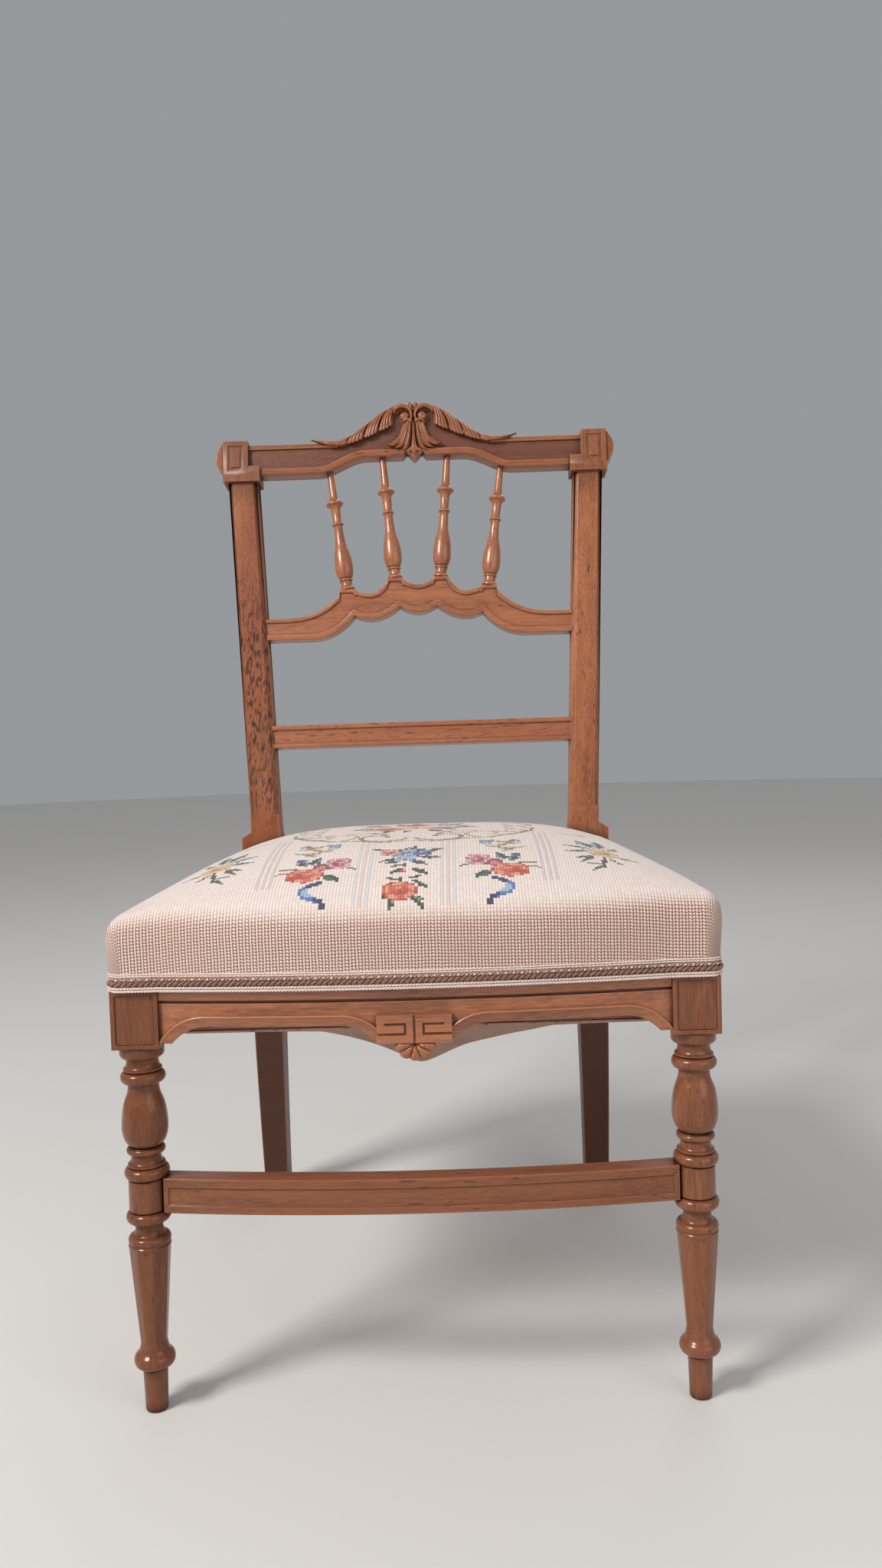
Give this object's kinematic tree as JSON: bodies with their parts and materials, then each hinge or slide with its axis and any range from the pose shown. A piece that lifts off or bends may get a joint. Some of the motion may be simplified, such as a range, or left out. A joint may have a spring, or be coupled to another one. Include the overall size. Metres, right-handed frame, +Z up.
{
  "type": "upholstered side chair",
  "caption": "Low armless side chair with turned front legs, a raked open back of spindles under a carved crest, and a sprung stuffed-over seat in needlepoint",
  "frame": {"origin": "on the floor, under the middle of the overall bounding box", "axes": "+Z up, the chair faces -Y, +X to the sitter's left hand side as seen from the front right"},
  "size_m": [0.4508, 0.4931, 0.8559],
  "materials": {
    "polished_wood": "satin varnish over stained beech",
    "raw_wood": "sawn, unfinished",
    "iron": "blued",
    "webbing": "jute webbing",
    "hessian": "coarse hessian",
    "spring_wire": "coppered wire, dulled",
    "stuffing": "hair under cotton wadding",
    "needlework": "wool needlepoint on canvas",
    "braid": "woven gimp braid"
  },
  "bodies": {
    "root": {"front_leg_left": "polished_wood", "front_leg_right": "polished_wood", "rear_leg_left": "polished_wood", "rear_leg_right": "polished_wood", "front_seat_rail": "polished_wood", "side_seat_rail_left": "polished_wood", "side_seat_rail_right": "polished_wood", "rear_seat_rail": "polished_wood", "shell_pendant": "polished_wood", "front_stretcher": "polished_wood", "crest_rail": "polished_wood", "ear_left": "polished_wood", "ear_right": "polished_wood", "scalloped_rail": "polished_wood", "lower_back_rail": "polished_wood", "spindle_1": "polished_wood", "spindle_2": "polished_wood", "spindle_3": "polished_wood", "spindle_4": "polished_wood", "corner_block_front_left": "raw_wood", "corner_block_front_right": "raw_wood", "corner_block_rear_left": "raw_wood", "corner_block_rear_right": "raw_wood", "corner_block_screws": "iron", "webbing_lengthwise": "webbing", "webbing_crosswise": "webbing", "webbing_tacks": "iron", "bottom_cloth": "hessian", "seat_springs": "spring_wire", "spring_canvas": "hessian", "seat_stuffing": "stuffing", "seat_cover": "needlework", "gimp_braid": "braid"}
  },
  "joints": []
}
